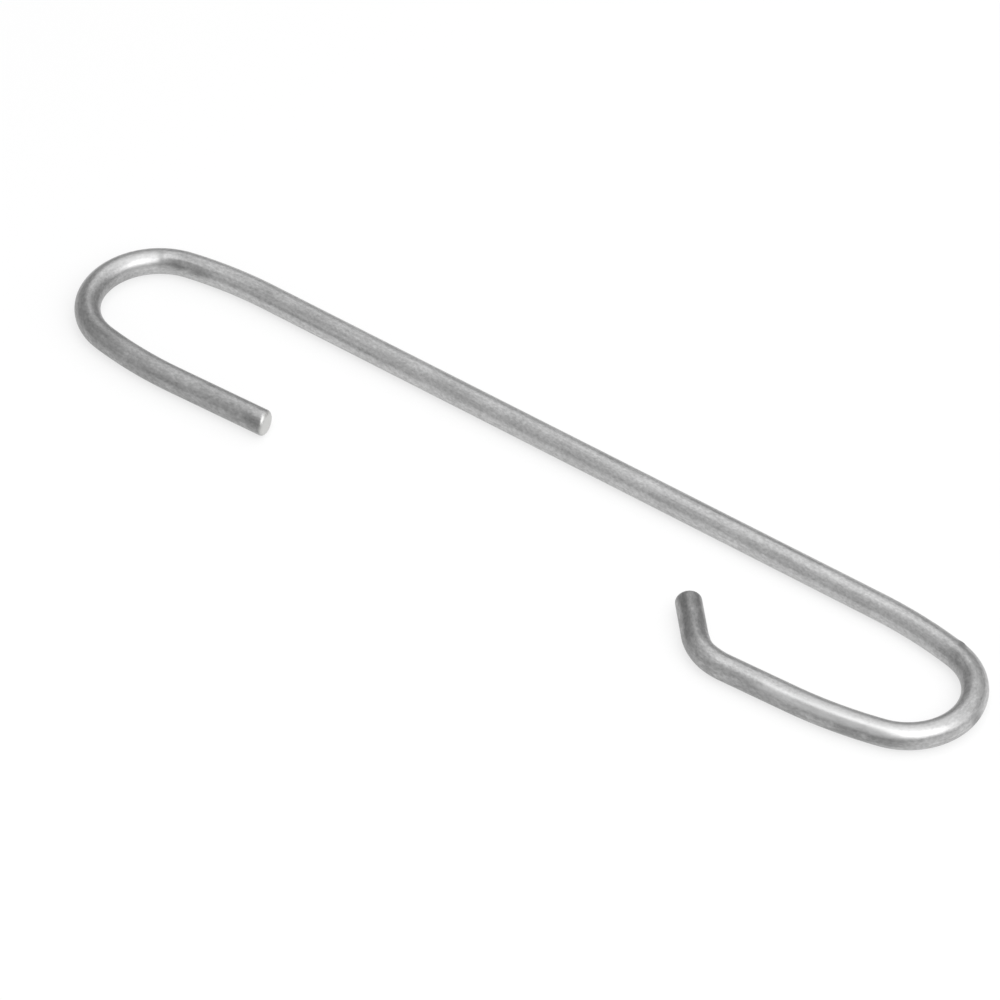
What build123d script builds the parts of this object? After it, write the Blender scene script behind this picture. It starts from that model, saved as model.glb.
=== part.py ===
"""Cistern link hook: one length of round zinc-coated steel wire, bent cold in one plane into a long flat C.

It joins a flushing lever to the siphon below it. The lever's eye rides in one end loop and the siphon's
in the other. It lies flat: X runs along the shank, the loops' legs lie on the -Y side, and Z is up.
"""

import os

from build123d import *

# Wire
wire_diameter = 2.5
# Straight run between the two ends
shank_length = 70.8
# The wire springs back where a loop begins and ends, so it eases into each loop and out of it on a wide curve
easing_radius = 42.5
easing_angle = 12.3
# The plain end: wound a little past the half turn, so that its leg leans towards the shank
plain_loop_inside_radius = 5.4
plain_leg_length = 10.75
plain_leg_lean_angle = 2.2
plain_end_rounding = 0.45
# The keeper end: wound tighter and stopped short of the half turn, so that its leg opens away from the shank
keeper_loop_inside_radius = 5.0
keeper_leg_length = 7.0
keeper_leg_splay_angle = 2.7
# The keeper's kick turns the tip in towards the shank, so that a slack eye can't slip off
kick_inside_radius = 4.6
kick_angle = 49.6
kick_tip_length = 4.75
kick_end_rounding = 0.5

half_turn_angle = 180.0
wire_radius = wire_diameter / 2
plain_loop_radius = plain_loop_inside_radius + wire_radius
keeper_loop_radius = keeper_loop_inside_radius + wire_radius
kick_radius = kick_inside_radius + wire_radius
plain_loop_angle = half_turn_angle + plain_leg_lean_angle - 2 * easing_angle
keeper_loop_angle = half_turn_angle - keeper_leg_splay_angle - 2 * easing_angle

with BuildPart() as hook_wire:
    # The wire's axis, drawn out from the shank to each end as the bender makes it
    with BuildLine(Plane.XY.offset(wire_radius)) as wire_axis:
        shank = Line((-shank_length / 2, 0), (shank_length / 2, 0))
        plain_ease_in = JernArc(shank @ 0, -(shank % 0), easing_radius, easing_angle)
        plain_loop = JernArc(plain_ease_in @ 1, plain_ease_in % 1, plain_loop_radius, plain_loop_angle)
        plain_ease_out = JernArc(plain_loop @ 1, plain_loop % 1, easing_radius, easing_angle)
        plain_leg = PolarLine(plain_ease_out @ 1, plain_leg_length, direction=plain_ease_out % 1)
        keeper_ease_in = JernArc(shank @ 1, shank % 1, easing_radius, -easing_angle)
        keeper_loop = JernArc(keeper_ease_in @ 1, keeper_ease_in % 1, keeper_loop_radius, -keeper_loop_angle)
        keeper_ease_out = JernArc(keeper_loop @ 1, keeper_loop % 1, easing_radius, -easing_angle)
        keeper_leg = PolarLine(keeper_ease_out @ 1, keeper_leg_length, direction=keeper_ease_out % 1)
        kick = JernArc(keeper_leg @ 1, keeper_leg % 1, kick_radius, -kick_angle)
        kick_tip = PolarLine(kick @ 1, kick_tip_length, direction=kick % 1)

    # The round section, carried along that axis from the plain end to the kicked tip
    with BuildSketch(Plane(origin=plain_leg @ 1, z_dir=plain_leg % 1)):
        Circle(wire_radius)
    sweep(path=wire_axis.wire())

    # Sheared ends with their rims tumbled round
    end_faces = hook_wire.faces().filter_by(GeomType.PLANE)
    fillet(end_faces.sort_by_distance(plain_leg @ 1)[0].edges(), plain_end_rounding)
    fillet(end_faces.sort_by_distance(kick_tip @ 1)[0].edges(), kick_end_rounding)

# The origin is the middle of the hook's box, on the surface that it lies on
hook_middle = hook_wire.part.bounding_box().center()
hook_wire.part.move(Location((-hook_middle.X, -hook_middle.Y, 0)))

os.makedirs("parts", exist_ok=True)
hook_wire.part.label = "hook_wire"
export_step(hook_wire.part, "parts/hook_wire.step")
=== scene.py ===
"""Cistern link hook: the look of its bent zinc-coated wire, on a white floor in soft studio light."""

import math

import bpy
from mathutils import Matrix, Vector, kdtree


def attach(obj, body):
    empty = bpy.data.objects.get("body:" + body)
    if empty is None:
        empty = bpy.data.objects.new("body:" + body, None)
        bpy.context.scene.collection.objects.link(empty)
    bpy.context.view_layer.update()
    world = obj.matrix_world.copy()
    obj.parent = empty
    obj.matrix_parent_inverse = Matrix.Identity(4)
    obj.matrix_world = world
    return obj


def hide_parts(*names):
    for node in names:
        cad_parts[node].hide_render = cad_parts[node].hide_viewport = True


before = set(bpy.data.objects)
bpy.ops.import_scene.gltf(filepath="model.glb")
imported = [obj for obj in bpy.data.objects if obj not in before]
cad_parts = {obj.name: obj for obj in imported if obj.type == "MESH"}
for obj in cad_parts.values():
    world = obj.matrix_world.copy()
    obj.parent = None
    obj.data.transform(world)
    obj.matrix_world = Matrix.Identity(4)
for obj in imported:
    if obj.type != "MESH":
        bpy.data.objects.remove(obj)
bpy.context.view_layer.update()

# Lengths are in millimetres and angles in degrees. Only the floor's and the lamps' lengths are in metres.
MM = 0.001
QUARTER_TURN = 90.0
HALF_TURN = 180.0

# The hook's sizes, as in the part's source
WIRE_DIAMETER = 2.5
SHANK_LENGTH = 70.8
EASING_RADIUS = 42.5
EASING_ANGLE = 12.3
PLAIN_LOOP_INSIDE_RADIUS = 5.4
PLAIN_LEG_LENGTH = 10.75
PLAIN_LEG_LEAN = 2.2
PLAIN_END_ROUNDING = 0.45
KEEPER_LOOP_INSIDE_RADIUS = 5.0
KEEPER_LEG_LENGTH = 7.0
KEEPER_LEG_SPLAY = 2.7
KICK_INSIDE_RADIUS = 4.6
KICK_ANGLE = 49.6
KICK_TIP_LENGTH = 4.75
KICK_END_ROUNDING = 0.5

WIRE_RADIUS = WIRE_DIAMETER / 2
PLAIN_LOOP_RADIUS = PLAIN_LOOP_INSIDE_RADIUS + WIRE_RADIUS
KEEPER_LOOP_RADIUS = KEEPER_LOOP_INSIDE_RADIUS + WIRE_RADIUS
KICK_RADIUS = KICK_INSIDE_RADIUS + WIRE_RADIUS
PLAIN_LOOP_TURN = HALF_TURN + PLAIN_LEG_LEAN - 2 * EASING_ANGLE
KEEPER_LOOP_TURN = HALF_TURN - KEEPER_LEG_SPLAY - 2 * EASING_ANGLE

# Lengths of wire in the bends, and how far from the plain end the shank and the keeper leg begin and the
# wire ends
EASING_LENGTH = EASING_RADIUS * math.radians(EASING_ANGLE)
PLAIN_LOOP_LENGTH = PLAIN_LOOP_RADIUS * math.radians(PLAIN_LOOP_TURN)
KEEPER_LOOP_LENGTH = KEEPER_LOOP_RADIUS * math.radians(KEEPER_LOOP_TURN)
KICK_LENGTH = KICK_RADIUS * math.radians(KICK_ANGLE)
SHANK_START = PLAIN_LEG_LENGTH + PLAIN_LOOP_LENGTH + 2 * EASING_LENGTH
KEEPER_LEG_START = SHANK_START + SHANK_LENGTH + KEEPER_LOOP_LENGTH + 2 * EASING_LENGTH
WIRE_LENGTH = KEEPER_LEG_START + KEEPER_LEG_LENGTH + KICK_LENGTH + KICK_TIP_LENGTH

# How finely the wire is modelled
SECTION_POINTS = 64
LOOP_STEPS = 160
EASING_STEPS = 60
KICK_STEPS = 60
RIM_STEPS = 6
RUN_STEP = 1.5
MERGE_DISTANCE = 0.001
SMOOTH_ANGLE = 40.0

# The shears left the plain end's outer side longer than its inner side, and cut the kicked end square
PLAIN_END_SLANT = 10.0
KICK_END_SLANT = 0.0

# Marks of the bending tools. Each is placed by its length along the straight wire and by its turn round it,
# from the outer side of the C over the top to the inner side. A dent has a depth, the reach that it fades
# over and the share of its coat that is scuffed. A raised burr has a depth below zero.
FORMER_EDGE = 35.4
FORMER_EDGE_TURNS = (100.0, 120.0, 140.0)
DENTS = [(FORMER_EDGE, turn, 0.012, 0.5, 0.35) for turn in FORMER_EDGE_TURNS]
DENTS += [
    # Burr and nick where the keeper loop begins
    (127.1, 44.0, -0.06, 0.6, 0.9),
    (127.5, 62.0, 0.05, 0.6, 0.6),
    # Inside corner of the kick, pressed in by the tool that it was bent over
    (162.5, 180.0, 0.16, 1.5, 0.5),
]
# The keeper loop's flat has a depth and a scuffed share
FLATS = [(135.4, 4.0, 0.055, 0.6)]
FLAT_REACH = 2.0
FLAT_SCUFF_REACH = FLAT_REACH / 2


def srgb(code):
    """Linear colour, with alpha, from an sRGB hex value."""
    parts = [int(code[i : i + 2], 16) / 255 for i in (1, 3, 5)]
    return [c / 12.92 if c <= 0.04045 else ((c + 0.055) / 1.055) ** 2.4 for c in parts] + [1.0]


def plug(tree, value, socket):
    """Links a node or an output to an input, or sets the input to a plain value."""
    if isinstance(value, bpy.types.Node):
        value = next(output for output in value.outputs if output.enabled)
    if isinstance(value, bpy.types.NodeSocket):
        tree.links.new(value, socket)
    else:
        socket.default_value = value


def node(tree, kind, settings, *ordered, **named):
    """Adds a node with its settings, and plugs its inputs, in their order or by name."""
    made = tree.nodes.new(kind)
    for name, value in settings.items():
        setattr(made, name, value)
    open_inputs = [socket for socket in made.inputs if socket.enabled]
    for socket, value in zip(open_inputs, ordered):
        plug(tree, value, socket)
    for name, value in named.items():
        plug(tree, value, made.inputs[name])
    return made


def heading(degrees):
    """Direction at an angle in the XY plane."""
    return Vector((math.cos(math.radians(degrees)), math.sin(math.radians(degrees)), 0.0))


def towards(azimuth, elevation):
    """Direction from the hook to a camera or lamp. Azimuth 0 is in front of the legs, 90 off the keeper."""
    a, e = math.radians(azimuth), math.radians(elevation)
    return Vector((math.sin(a) * math.cos(e), -math.cos(a) * math.cos(e), math.sin(e)))


class Former:
    """Feeds and bends the wire's selected end ring, and notes where each ring lies on the straight wire."""

    def __init__(self, place, degrees, along, sense):
        self.place = place
        self.degrees = degrees
        self.along = along
        # 1 where feeding goes towards the kicked end, -1 where it goes towards the plain end
        self.sense = sense
        self.rings = []
        self.note()

    def note(self):
        """Notes the ring's place, which way the wire runs there and how far along it is."""
        self.rings.append((self.place.copy(), heading(self.degrees) * self.sense, self.along))

    def feed(self, length):
        """Feeds the wire out straight."""
        steps = round(length / RUN_STEP)
        stride = heading(self.degrees) * (length / steps)
        for _ in range(steps):
            bpy.ops.mesh.extrude_region_move(TRANSFORM_OT_translate={"value": stride * MM})
            self.place += stride
            self.along += self.sense * length / steps
            self.note()

    def bend(self, radius, turn, steps):
        """Winds the wire round a former: a turn above zero goes anticlockwise seen from above."""
        side = math.copysign(QUARTER_TURN, turn)
        middle = self.place + heading(self.degrees + side) * radius
        # A positive spin goes clockwise seen from above
        bpy.ops.mesh.spin(steps=steps, angle=-math.radians(turn), center=middle * MM, axis=(0, 0, 1))
        for _ in range(steps):
            self.degrees += turn / steps
            self.place = middle - heading(self.degrees + side) * radius
            self.along += self.sense * radius * math.radians(abs(turn)) / steps
            self.note()

    def shear(self, slant, rounding):
        """Closes the end with a sheared face, slanted about its inner side, and rolls its rim over."""
        inner_side = (self.place + heading(self.degrees - QUARTER_TURN * self.sense) * WIRE_RADIUS) * MM
        slant = math.radians(slant)
        bpy.ops.mesh.edge_face_add()
        # With no window, a positive rotation goes clockwise seen from above
        bpy.ops.transform.rotate(value=self.sense * slant, orient_axis="Z", center_override=inner_side)
        # The slanted face is drawn out to the wire's full thickness again
        bpy.ops.transform.resize(value=(1, 1 / math.cos(slant), 1), center_override=inner_side)
        bpy.ops.mesh.bevel(offset=rounding * MM, segments=RIM_STEPS, affect="EDGES")


def form_wire():
    """Models the wire as it is made: a round section fed out straight and wound round the formers."""
    ease = math.radians(EASING_ANGLE)
    splay = math.radians(KEEPER_LEG_SPLAY)
    # The hook's depth and the offset of its shank's middle put the middle of its box at the origin
    depth = EASING_RADIUS * (1 - math.cos(ease) + math.cos(splay) - math.cos(splay + ease))
    depth += KEEPER_LOOP_RADIUS * (math.cos(ease) + math.cos(splay + ease))
    depth += KEEPER_LEG_LENGTH * math.sin(splay) + KICK_RADIUS * (1 - math.cos(splay))
    shank_middle = (PLAIN_LOOP_RADIUS - KEEPER_LOOP_RADIUS) * (1 - math.sin(ease)) / 2
    start = Vector((shank_middle - SHANK_LENGTH / 2, depth / 2, WIRE_RADIUS))

    bpy.ops.object.select_all(action="DESELECT")
    bpy.ops.mesh.primitive_circle_add(
        vertices=SECTION_POINTS,
        radius=WIRE_RADIUS * MM,
        location=start * MM,
        rotation=(0, math.radians(QUARTER_TURN), 0),
    )
    wire = bpy.context.object
    wire.name = "bent_wire"
    bpy.ops.object.transform_apply(location=True, rotation=True, scale=True)
    bpy.ops.object.mode_set(mode="EDIT")
    bpy.ops.mesh.select_mode(type="EDGE")
    bpy.ops.mesh.select_all(action="SELECT")

    # Shank, keeper loop, keeper leg, kick and tip
    keeper = Former(start.copy(), 0.0, SHANK_START, 1)
    keeper.feed(SHANK_LENGTH)
    keeper.bend(EASING_RADIUS, -EASING_ANGLE, EASING_STEPS)
    keeper.bend(KEEPER_LOOP_RADIUS, -KEEPER_LOOP_TURN, LOOP_STEPS)
    keeper.bend(EASING_RADIUS, -EASING_ANGLE, EASING_STEPS)
    keeper.feed(KEEPER_LEG_LENGTH)
    keeper.bend(KICK_RADIUS, -KICK_ANGLE, KICK_STEPS)
    keeper.feed(KICK_TIP_LENGTH)
    keeper.shear(KICK_END_SLANT, KICK_END_ROUNDING)

    # Plain loop and plain leg, out of the ring that the shank began with
    bpy.ops.mesh.select_all(action="DESELECT")
    bpy.ops.mesh.select_non_manifold()
    plain = Former(start.copy(), HALF_TURN, SHANK_START, -1)
    plain.bend(EASING_RADIUS, EASING_ANGLE, EASING_STEPS)
    plain.bend(PLAIN_LOOP_RADIUS, PLAIN_LOOP_TURN, LOOP_STEPS)
    plain.bend(EASING_RADIUS, EASING_ANGLE, EASING_STEPS)
    plain.feed(PLAIN_LEG_LENGTH)
    plain.shear(PLAIN_END_SLANT, PLAIN_END_ROUNDING)

    bpy.ops.mesh.select_all(action="SELECT")
    bpy.ops.mesh.remove_doubles(threshold=MERGE_DISTANCE * MM)
    bpy.ops.mesh.normals_make_consistent(inside=False)
    bpy.ops.object.mode_set(mode="OBJECT")
    bpy.ops.object.shade_smooth_by_angle(angle=math.radians(SMOOTH_ANGLE))
    return wire, keeper.rings + plain.rings


def nearest_of(points):
    """A search for the nearest of some points."""
    tree = kdtree.KDTree(len(points))
    for i, point in enumerate(points):
        tree.insert(point, i)
    tree.balance()
    return tree


def note_straight_wire(wire, rings):
    """Keeps where each point was on the straight wire, in metres: along it, out of the C, and up."""
    nearest = nearest_of([place for place, _, _ in rings])
    straight = []
    for point in wire.data.vertices:
        place, ahead, along = rings[nearest.find(point.co / MM)[1]]
        offset = point.co / MM - place
        outwards = Vector((-ahead.y, ahead.x, 0.0))
        straight.append(Vector((along + offset.dot(ahead), offset.dot(outwards), offset.z)) * MM)
    kept = wire.data.attributes.new("straight_wire", "FLOAT_VECTOR", "POINT")
    kept.data.foreach_set("vector", [c for point in straight for c in point])
    return straight


def mark_place(along, turn):
    """A point of the straight wire's surface, in metres."""
    turn = math.radians(turn)
    return Vector((along, WIRE_RADIUS * math.cos(turn), WIRE_RADIUS * math.sin(turn))) * MM


def press_tool_marks(wire, straight):
    """Presses the bending tools' marks into the wire."""
    nearest = nearest_of(straight)
    points = wire.data.vertices
    bpy.ops.object.mode_set(mode="EDIT")
    bpy.ops.mesh.select_mode(type="VERT")
    for along, turn, depth, reach, _ in DENTS:
        bpy.ops.mesh.select_all(action="DESELECT")
        bpy.ops.object.mode_set(mode="OBJECT")
        middle = points[nearest.find(mark_place(along, turn))[1]]
        middle.select = True
        push = -middle.normal * depth * MM
        bpy.ops.object.mode_set(mode="EDIT")
        bpy.ops.transform.translate(
            value=push,
            use_proportional_edit=True,
            use_proportional_connected=True,
            proportional_size=reach * MM,
        )
    for along, turn, depth, _ in FLATS:
        bpy.ops.mesh.select_all(action="DESELECT")
        bpy.ops.object.mode_set(mode="OBJECT")
        middle = points[nearest.find(mark_place(along, turn))[1]]
        out = middle.normal.copy()
        seat = middle.co - out * depth * MM
        for point in points:
            offset = point.co - seat
            point.select = offset.dot(out) > 0 and offset.length < FLAT_REACH * MM
        bpy.ops.object.mode_set(mode="EDIT")
        across = out.orthogonal().normalized()
        bpy.ops.transform.resize(
            value=(1, 1, 0),
            orient_type="GLOBAL",
            orient_matrix=(across, out.cross(across), out),
            orient_matrix_type="GLOBAL",
            center_override=seat,
        )
    bpy.ops.object.mode_set(mode="OBJECT")


# Zinc finish: length along the wire and width round it of each of its patterns, then the noise's detail
# and roughness. Real die lines are a few hundredths of a millimetre wide and the coat's grain is finer
# still, so both are drawn as coarse as the picture needs to show them.
ZINC_PATTERNS = {
    "die_lines": (26.0, 0.22, 3.0, 0.6),
    "clouds": (5.0, 2.0, 4.0, 0.6),
    "blotches": (1.5, 0.8, 3.0, 0.6),
    "grain": (0.36, 0.22, 2.0, 0.6),
}
# Depth of the die lines, and the grain's as a share of it
DIE_LINE_DEPTH = 0.0018
GRAIN_DEPTH_SHARE = 0.3

# Greys of the coat from dark to pale, of a scuff, and of the bare steel that a sheared face shows, kept
# pale so that it also paints a highlight on the end's rolled rim
COAT_DARK = "#A8A8A8"
COAT_PALE = "#C8C8C8"
SCUFF_GREY = "#707070"
SHEARED_STEEL_AND_HIGHLIGHT_GREY = "#D6D6D4"

# What a pattern is mapped to: its values from and to, then what these become
TONE_RANGE = (0.4, 1.6, 0.0, 1.0)
SPECKLE_RANGE = (0.25, 0.75, 0.78, 1.22)
PATCH_RANGE = (0.3, 0.6, 0.45, 1.0)
SCUFF_RANGE = (0.3, 0.6, 0.35, 1.0)
ROUGHNESS_RANGE = (0.3, 0.7, 0.28, 0.36)

# What is added to the coat's roughness
DIE_LINE_ROUGHNESS = 0.08
GRAIN_ROUGHNESS = 0.06
SCUFF_ROUGHNESS = 0.15
SHEARED_ROUGHNESS = 0.1

# A scuff is full up to a share of its reach
SCUFF_CORE_SHARE = 0.2
# A sheared face's share of bare steel and painted highlight, and how far in from the face, over the rolled
# rim, the coat is whole again
SHEARED_SHARE = 0.85
SHEARED_DEPTH = 0.5
# A cut end's length along the straight wire, the sense in which the wire goes on from it, and its slant
CUT_ENDS = [(0.0, 1.0, PLAIN_END_SLANT), (WIRE_LENGTH, -1.0, KICK_END_SLANT)]

# Patches of painted shade and painted highlight on the coat: where each begins and ends along the straight
# wire, the turn round the wire that it is centred on and how far it spreads from there, its share of the
# coat and its grey
PAINTED_SHADE_PATCHES = [
    # Painted shade on the outer, lower sides of both ends, where they mirror the floor in front of them
    (-5.0, 28.0, 5.0, 55.0, 0.75, "#8A8A8A"),
    (143.0, 166.0, 5.0, 55.0, 0.75, "#8A8A8A"),
    # Painted shade on the insides of the loops
    (22.0, 32.0, 185.0, 60.0, 0.55, "#868686"),
    (127.0, 140.0, 180.0, 60.0, 0.45, "#868686"),
    # Painted shade on the stretches where both loops begin to turn most tightly
    (17.0, 26.5, 75.0, 75.0, 0.5, "#808080"),
    (126.5, 134.5, 120.0, 70.0, 0.5, "#868686"),
    # Painted shade in dark patches beside the plain end, beside the former's edge and on the keeper loop's
    # outer side
    (-0.6, 2.0, 30.0, 40.0, 0.6, "#6A6A6A"),
    (35.6, 41.0, 152.0, 36.0, 0.55, "#7A7A7A"),
    (141.5, 147.5, 12.0, 32.0, 0.6, "#747474"),
    # Painted shade over the last stretches at both ends
    (-5.0, 29.0, 90.0, 180.0, 0.35, "#9C9C9C"),
    (163.0, 175.0, 90.0, 180.0, 0.75, "#808080"),
]
PAINTED_HIGHLIGHT_PATCHES = [
    # Painted highlight along the flank of the keeper leg
    (142.0, 156.0, 48.0, 28.0, 0.65, "#F0F0F0"),
    # Painted highlight: a smooth paler grey on the upper sides of both loops, past their middles, where the
    # highlight falls
    (30.0, 35.4, 125.0, 60.0, 0.6, "#BEBEBE"),
    (137.0, 152.0, 75.0, 50.0, 0.6, "#C4C4C4"),
]
# How far a patch fades along the wire, and the share of its spread round the wire that is full
PATCH_FADE = 2.0
PATCH_CORE_SHARE = 1 / 3

# Settings that several nodes share
SMOOTH = {"interpolation_type": "SMOOTHSTEP"}
TIMES = {"operation": "MULTIPLY"}
TIMES_PLUS = {"operation": "MULTIPLY_ADD"}
LARGER = {"operation": "MAXIMUM"}
DOT = {"operation": "DOT_PRODUCT"}
DISTANCE = {"operation": "DISTANCE"}
MIX = {"data_type": "RGBA"}


def coat_patch(tree, straight, uneven, begin, end, turn, spread):
    """How much of a patch shows: it fades out to its sides and is broken up unevenly."""
    middle = (begin + end) / 2
    half = (end - begin) / 2
    fade = min(half, PATCH_FADE)
    along = node(tree, "ShaderNodeSeparateXYZ", {}, straight).outputs["X"]
    off_middle = node(tree, "ShaderNodeMath", {"operation": "SUBTRACT"}, along, middle * MM)
    off_middle = node(tree, "ShaderNodeMath", {"operation": "ABSOLUTE"}, off_middle)
    here = node(tree, "ShaderNodeMapRange", SMOOTH, off_middle, (half + fade) * MM, (half - fade) * MM)
    centre = Vector((0.0, *heading(turn).xy)) / (WIRE_RADIUS * MM)
    facing = node(tree, "ShaderNodeVectorMath", DOT, straight, centre).outputs["Value"]
    edge = math.cos(math.radians(spread))
    core = math.cos(math.radians(spread * PATCH_CORE_SHARE))
    round_wire = node(tree, "ShaderNodeMapRange", SMOOTH, facing, edge, core)
    patch = node(tree, "ShaderNodeMath", TIMES, here, round_wire)
    return node(tree, "ShaderNodeMath", TIMES, patch, uneven)


def lay_patches(tree, colour, straight, uneven, patches):
    """The coat's colour with patches of other greys laid over it."""
    for *place, share, grey in patches:
        patch = coat_patch(tree, straight, uneven, *place)
        amount = node(tree, "ShaderNodeMath", TIMES, patch, share)
        colour = node(tree, "ShaderNodeMix", MIX, amount, colour, srgb(grey))
    return colour


def scuffed_marks(tree, straight, grain):
    """How far the coat is scuffed on the tool marks, broken up by the grain."""
    scuffs = [(along, turn, reach, share) for along, turn, _, reach, share in DENTS]
    scuffs += [(along, turn, FLAT_SCUFF_REACH, share) for along, turn, _, share in FLATS]
    scuffed = 0.0
    for along, turn, reach, share in scuffs:
        mark = mark_place(along, turn)
        away = node(tree, "ShaderNodeVectorMath", DISTANCE, straight, mark).outputs["Value"]
        edge = reach * MM
        core = edge * SCUFF_CORE_SHARE
        here = node(tree, "ShaderNodeMapRange", SMOOTH, away, edge, core, 0.0, share)
        scuffed = node(tree, "ShaderNodeMath", LARGER, scuffed, here)
    broken = node(tree, "ShaderNodeMapRange", SMOOTH, grain, *SCUFF_RANGE)
    return node(tree, "ShaderNodeMath", TIMES, scuffed, broken)


def sheared_faces(tree, straight):
    """Where the sheared faces and their rolled rims show bare steel, which is also painted pale as a
    highlight.
    """
    sheared = 0.0
    for end, inwards, slant in CUT_ENDS:
        way_in = Vector((inwards, math.sin(math.radians(slant)), 0.0))
        inner_side = Vector((end, -WIRE_RADIUS, 0.0)) * MM
        into = node(tree, "ShaderNodeVectorMath", {"operation": "SUBTRACT"}, straight, inner_side)
        into = node(tree, "ShaderNodeVectorMath", DOT, into, way_in).outputs["Value"]
        here = node(tree, "ShaderNodeMapRange", SMOOTH, into, SHEARED_DEPTH * MM, 0.0)
        sheared = node(tree, "ShaderNodeMath", LARGER, sheared, here)
    return sheared


def zinc_coated_drawn_steel():
    """Soft steel wire, drawn through a die and zinc-plated: a neutral satin grey, finely grained, with
    faint lines along the wire from the die and cloudy where the coat is thicker, with painted shade and
    painted highlights laid over it in patches, and pale bare steel on the cut ends that also paints a
    highlight on their rims."""
    material = bpy.data.materials.new("zinc_coated_drawn_steel")
    material.use_nodes = True
    tree = material.node_tree
    bsdf = tree.nodes["Principled BSDF"]
    bsdf.inputs["Metallic"].default_value = 1.0

    straight = node(tree, "ShaderNodeAttribute", {"attribute_name": "straight_wire"}).outputs["Vector"]
    noise = {}
    for name, (length, width, detail, roughness) in ZINC_PATTERNS.items():
        per_metre = Vector((1 / length, 1 / width, 1 / width)) / MM
        scaled = node(tree, "ShaderNodeMapping", {}, straight, Scale=per_metre)
        noise[name] = node(
            tree, "ShaderNodeTexNoise", {}, scaled, Scale=1.0, Detail=detail, Roughness=roughness
        )
    scuffed = scuffed_marks(tree, straight, noise["grain"])
    sheared = sheared_faces(tree, straight)

    # Grey: die lines and clouds, patches of painted shade, the grain over both, then patches of painted
    # highlight, scuffs, and the cut ends' bare steel with its painted highlight
    tone = node(tree, "ShaderNodeMath", {"operation": "ADD"}, noise["die_lines"], noise["clouds"])
    tone = node(tree, "ShaderNodeMapRange", SMOOTH, tone, *TONE_RANGE)
    colour = node(tree, "ShaderNodeMix", MIX, tone, srgb(COAT_DARK), srgb(COAT_PALE))
    uneven = node(tree, "ShaderNodeMapRange", SMOOTH, noise["blotches"], *PATCH_RANGE)
    # Patches of painted shade over the coat
    colour = lay_patches(tree, colour, straight, uneven, PAINTED_SHADE_PATCHES)
    speckle = node(tree, "ShaderNodeMapRange", {}, noise["grain"], *SPECKLE_RANGE)
    colour = node(tree, "ShaderNodeMix", MIX | {"blend_type": "MULTIPLY"}, 1.0, colour, speckle)
    # Patches of painted highlight over the coat
    colour = lay_patches(tree, colour, straight, uneven, PAINTED_HIGHLIGHT_PATCHES)
    colour = node(tree, "ShaderNodeMix", MIX, scuffed, colour, srgb(SCUFF_GREY))
    # Bare steel on the cut ends, pale so that it also paints a highlight on their rims
    bare_steel_and_highlight = node(tree, "ShaderNodeMath", TIMES, sheared, SHEARED_SHARE)
    colour = node(tree, "ShaderNodeMix", MIX, bare_steel_and_highlight, colour, srgb(SHEARED_STEEL_AND_HIGHLIGHT_GREY))
    plug(tree, colour, bsdf.inputs["Base Color"])

    rough = node(tree, "ShaderNodeMapRange", SMOOTH, noise["clouds"], *ROUGHNESS_RANGE)
    rough = node(tree, "ShaderNodeMath", TIMES_PLUS, noise["die_lines"], DIE_LINE_ROUGHNESS, rough)
    rough = node(tree, "ShaderNodeMath", TIMES_PLUS, noise["grain"], GRAIN_ROUGHNESS, rough)
    rough = node(tree, "ShaderNodeMath", TIMES_PLUS, scuffed, SCUFF_ROUGHNESS, rough)
    rough = node(tree, "ShaderNodeMath", TIMES_PLUS, sheared, SHEARED_ROUGHNESS, rough)
    plug(tree, rough, bsdf.inputs["Roughness"])

    height = node(tree, "ShaderNodeMath", TIMES_PLUS, noise["grain"], GRAIN_DEPTH_SHARE, noise["die_lines"])
    bump = node(tree, "ShaderNodeBump", {}, Height=height, Strength=1.0, Distance=DIE_LINE_DEPTH * MM)
    plug(tree, bump, bsdf.inputs["Normal"])
    return material


wire, rings = form_wire()
straight = note_straight_wire(wire, rings)
press_tool_marks(wire, straight)
wire.data.materials.append(zinc_coated_drawn_steel())
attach(wire, "root")
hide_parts("hook_wire")

# Camera, at the photograph's angle: not rolled, with a long lens
CAMERA_AZIMUTH = 37.107
CAMERA_ELEVATION = 42.904
CAMERA_DISTANCE = 568.48
CAMERA_LENS = 221.76
SENSOR_WIDTH = 36.0
CAMERA_TARGET = Vector((-0.378, -1.956, WIRE_RADIUS))


def make_camera():
    """The camera, which stands where the photograph was taken from."""
    back = towards(CAMERA_AZIMUTH, CAMERA_ELEVATION)
    data = bpy.data.cameras.new("camera")
    data.lens = CAMERA_LENS
    data.sensor_width = SENSOR_WIDTH
    camera = bpy.data.objects.new("camera", data)
    camera.location = (CAMERA_TARGET + back * CAMERA_DISTANCE) * MM
    camera.rotation_euler = back.to_track_quat("Z", "Y").to_euler()
    bpy.context.collection.objects.link(camera)
    bpy.context.scene.camera = camera


make_camera()

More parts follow.
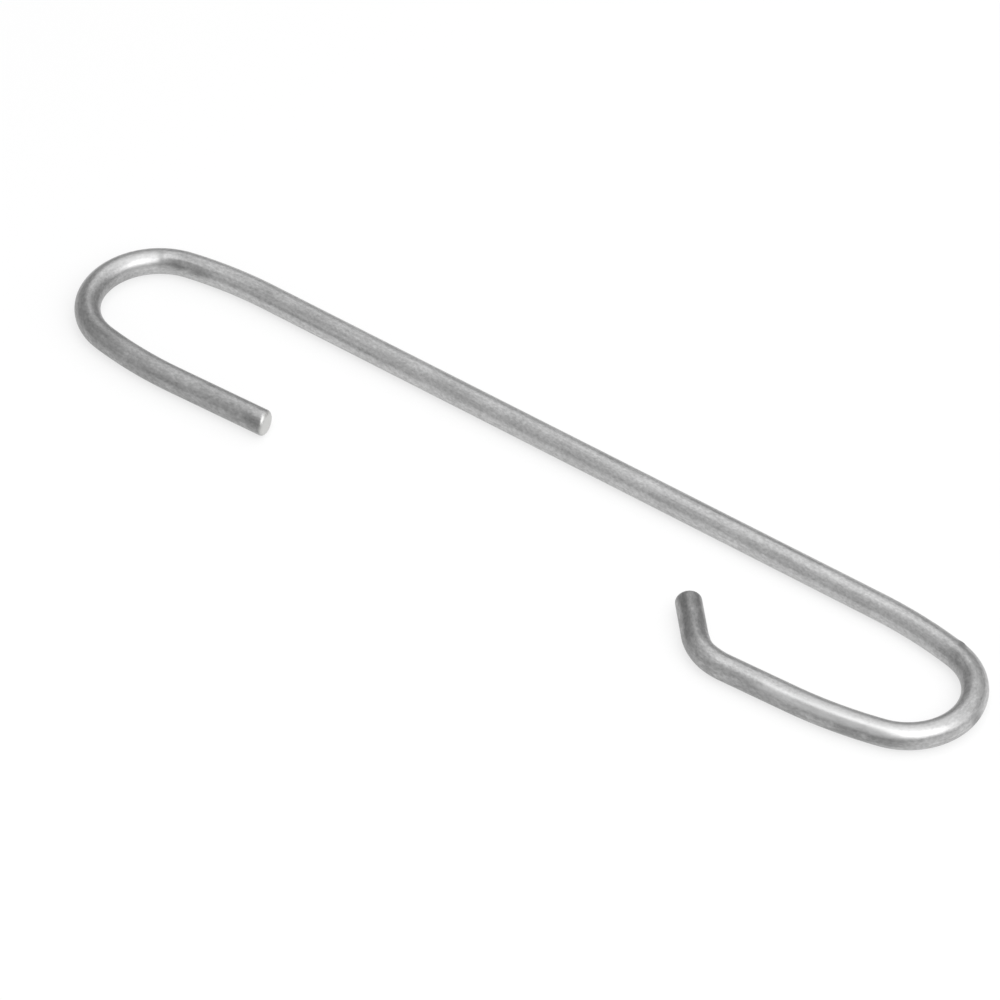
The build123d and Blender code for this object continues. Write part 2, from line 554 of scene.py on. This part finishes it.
# Floor, surround and lamps. A softbox has its direction, distance, width, height and brightness.
FLOOR_SIZE = 12.0
FLOOR_GREY = "#909090"
FLOOR_ROUGHNESS = 0.9
FLOOR_GLOW = 0.68
SURROUND_COLOUR = "#FFFFFF"
SURROUND_BRIGHTNESS = 0.49
SOFTBOXES = [
    ("key_softbox", 65, 48, 0.5, 0.4, 0.4, 2.4),
    ("side_softbox", 110, 35, 0.6, 0.4, 0.4, 1.05),
    ("top_softbox", 0, 90, 0.6, 0.5, 0.5, 1.35),
    ("back_softbox", 190, 50, 0.7, 0.8, 0.4, 0.7),
    ("front_softbox", -35, 30, 1.0, 1.0, 0.7, 0.25),
]


def white_card():
    """Matt card: a plain grey, lifted to white where it is seen or mirrored, which keeps the shadow."""
    material = bpy.data.materials.new("white_card")
    material.use_nodes = True
    tree = material.node_tree
    bsdf = tree.nodes["Principled BSDF"]
    bsdf.inputs["Base Color"].default_value = srgb(FLOOR_GREY)
    bsdf.inputs["Roughness"].default_value = FLOOR_ROUGHNESS
    bsdf.inputs["Specular IOR Level"].default_value = 0.0
    path = node(tree, "ShaderNodeLightPath", {}).outputs
    seen = node(tree, "ShaderNodeMath", LARGER, path["Is Camera Ray"], path["Is Glossy Ray"])
    seen = node(tree, "ShaderNodeMath", LARGER, seen, path["Is Transmission Ray"])
    lift = node(tree, "ShaderNodeMath", TIMES, seen, FLOOR_GLOW)
    glow = node(tree, "ShaderNodeEmission", {}, Strength=lift)
    both = node(tree, "ShaderNodeAddShader", {}, bsdf, glow)
    plug(tree, both, tree.nodes["Material Output"].inputs["Surface"])
    return material


def softbox(name, azimuth, elevation, distance, width, height, brightness):
    """A soft rectangular lamp that faces the hook."""
    back = towards(azimuth, elevation)
    data = bpy.data.lights.new(name, "AREA")
    data.shape = "RECTANGLE"
    data.size = width
    data.size_y = height
    data.energy = brightness * math.pi * width * height
    lamp = bpy.data.objects.new(name, data)
    lamp.location = back * distance
    lamp.rotation_euler = (-back).to_track_quat("-Z", "Y").to_euler()
    lamp.visible_camera = False
    bpy.context.collection.objects.link(lamp)


bpy.ops.object.select_all(action="DESELECT")
bpy.ops.mesh.primitive_plane_add(size=FLOOR_SIZE)
floor = bpy.context.object
floor.name = "floor"
floor.data.materials.append(white_card())

for lamp in SOFTBOXES:
    softbox(*lamp)

world = bpy.data.worlds.new("studio")
world.use_nodes = True
background = world.node_tree.nodes["Background"]
background.inputs["Color"].default_value = srgb(SURROUND_COLOUR)
background.inputs["Strength"].default_value = SURROUND_BRIGHTNESS
bpy.context.scene.world = world
bpy.context.scene.view_settings.view_transform = "Standard"
